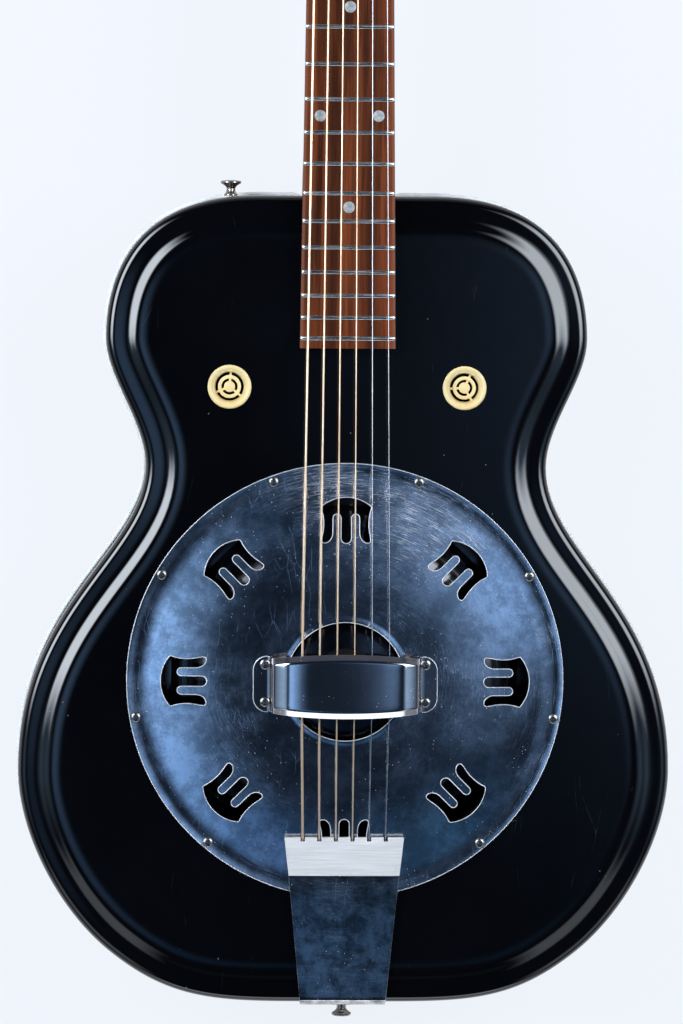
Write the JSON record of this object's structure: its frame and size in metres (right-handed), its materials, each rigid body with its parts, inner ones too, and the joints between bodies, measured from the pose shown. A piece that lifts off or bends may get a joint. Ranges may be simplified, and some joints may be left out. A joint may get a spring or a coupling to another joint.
{
  "type": "resonator guitar",
  "caption": "Hollow two-shell guitar with a metal resonator cone under a pierced chrome cover, a fretted neck, metal strings, a tailpiece and geared tuners.",
  "frame": {"origin": "on the flat back, straight below the bridge saddle", "axes": "+Y along the neck towards the headstock, +Z out of the front, +X towards the treble strings"},
  "size_m": [0.3792, 0.9992, 0.1045],
  "materials": {
    "black_gelcoat": "gloss black moulded shell, a little dusty",
    "white_vinyl": "smooth white vinyl",
    "well_wood": "raw plywood",
    "spun_aluminium": "dull spun metal",
    "maple": "raw maple",
    "plain_steel": "plain steel",
    "screw_steel": "plated steel",
    "chrome_plate": "mirror chrome with fine scratches",
    "brushed_aluminium": "brushed",
    "worn_nickel": "worn nickel plating",
    "cream_plastic": "aged cream plastic",
    "neck_wood": "satin lacquered mahogany",
    "block_wood": "raw spruce",
    "rosewood": "oiled rosewood",
    "bone": "polished bone",
    "black_plastic": "gloss black",
    "wound_bronze": "bronze winding"
  },
  "bodies": {
    "guitar": {"front_shell": "black_gelcoat", "back_shell": "black_gelcoat", "edge_gasket": "white_vinyl", "soundwell": "well_wood", "cone": "spun_aluminium", "biscuit": "maple", "saddle": "maple", "biscuit_screw": "plain_steel", "coverplate": "chrome_plate", "plate_screw_1": "screw_steel", "plate_screw_2": "screw_steel", "plate_screw_3": "screw_steel", "plate_screw_4": "screw_steel", "plate_screw_5": "screw_steel", "plate_screw_6": "screw_steel", "plate_screw_7": "screw_steel", "plate_screw_8": "screw_steel", "plate_screw_9": "screw_steel", "hand_rest": "chrome_plate", "rest_rivet_1": "screw_steel", "rest_rivet_2": "screw_steel", "rest_rivet_3": "screw_steel", "rest_rivet_4": "screw_steel", "tail_plate": "chrome_plate", "tail_clamp": "brushed_aluminium", "tail_screw_1": "screw_steel", "tail_screw_2": "screw_steel", "end_pin": "worn_nickel", "strap_button": "worn_nickel", "grommet_left": "cream_plastic", "grommet_right": "cream_plastic", "neck": "neck_wood", "neck_block": "block_wood", "neck_bolt_upper": "plain_steel", "neck_bolt_lower": "plain_steel", "fretboard": "rosewood", "nut": "bone", "truss_cover": "black_plastic", "tuner_plate_left": "worn_nickel", "tuner_plate_right": "worn_nickel", "string_1": "wound_bronze", "string_2": "wound_bronze", "string_3": "wound_bronze", "string_4": "wound_bronze", "string_5": "plain_steel", "string_6": "plain_steel"},
    "post_1": {"tuner_post_1": "worn_nickel"},
    "worm_1": {"tuner_worm_1": "worn_nickel"},
    "post_2": {"tuner_post_2": "worn_nickel"},
    "worm_2": {"tuner_worm_2": "worn_nickel"},
    "post_3": {"tuner_post_3": "worn_nickel"},
    "worm_3": {"tuner_worm_3": "worn_nickel"},
    "post_4": {"tuner_post_4": "worn_nickel"},
    "worm_4": {"tuner_worm_4": "worn_nickel"},
    "post_5": {"tuner_post_5": "worn_nickel"},
    "worm_5": {"tuner_worm_5": "worn_nickel"},
    "post_6": {"tuner_post_6": "worn_nickel"},
    "worm_6": {"tuner_worm_6": "worn_nickel"}
  },
  "joints": [
    {"name": "worm_turn_1", "type": "hinge", "parent": "guitar", "child": "worm_1", "pos_m": [-0.02, 0.68354, 0.05822], "axis": [-1, 0, 0], "continuous": true},
    {"name": "post_turn_1", "type": "hinge", "parent": "guitar", "child": "post_1", "pos_m": [-0.02, 0.67756, 0.07744], "axis": [0, 0.1392, 0.9903], "continuous": true},
    {"name": "worm_turn_2", "type": "hinge", "parent": "guitar", "child": "worm_2", "pos_m": [-0.02, 0.72316, 0.05265], "axis": [-1, 0, 0], "continuous": true},
    {"name": "post_turn_2", "type": "hinge", "parent": "guitar", "child": "post_2", "pos_m": [-0.02, 0.71717, 0.07187], "axis": [0, 0.1392, 0.9903], "continuous": true},
    {"name": "worm_turn_3", "type": "hinge", "parent": "guitar", "child": "worm_3", "pos_m": [-0.02, 0.76277, 0.04708], "axis": [-1, 0, 0], "continuous": true},
    {"name": "post_turn_3", "type": "hinge", "parent": "guitar", "child": "post_3", "pos_m": [-0.02, 0.75678, 0.0663], "axis": [0, 0.1392, 0.9903], "continuous": true},
    {"name": "worm_turn_4", "type": "hinge", "parent": "guitar", "child": "worm_4", "pos_m": [0.02, 0.76277, 0.04708], "axis": [1, 0, 0], "continuous": true},
    {"name": "post_turn_4", "type": "hinge", "parent": "guitar", "child": "post_4", "pos_m": [0.02, 0.75678, 0.0663], "axis": [0, 0.1392, 0.9903], "continuous": true},
    {"name": "worm_turn_5", "type": "hinge", "parent": "guitar", "child": "worm_5", "pos_m": [0.02, 0.72316, 0.05265], "axis": [1, 0, 0], "continuous": true},
    {"name": "post_turn_5", "type": "hinge", "parent": "guitar", "child": "post_5", "pos_m": [0.02, 0.71717, 0.07187], "axis": [0, 0.1392, 0.9903], "continuous": true},
    {"name": "worm_turn_6", "type": "hinge", "parent": "guitar", "child": "worm_6", "pos_m": [0.02, 0.68354, 0.05822], "axis": [1, 0, 0], "continuous": true},
    {"name": "post_turn_6", "type": "hinge", "parent": "guitar", "child": "post_6", "pos_m": [0.02, 0.67756, 0.07744], "axis": [0, 0.1392, 0.9903], "continuous": true}
  ],
  "couplings": [
    {"joint": "post_turn_1", "follows": "worm_turn_1", "ratio": 0.071429},
    {"joint": "post_turn_2", "follows": "worm_turn_2", "ratio": 0.071429},
    {"joint": "post_turn_3", "follows": "worm_turn_3", "ratio": 0.071429},
    {"joint": "post_turn_4", "follows": "worm_turn_4", "ratio": -0.071429},
    {"joint": "post_turn_5", "follows": "worm_turn_5", "ratio": -0.071429},
    {"joint": "post_turn_6", "follows": "worm_turn_6", "ratio": -0.071429}
  ]
}
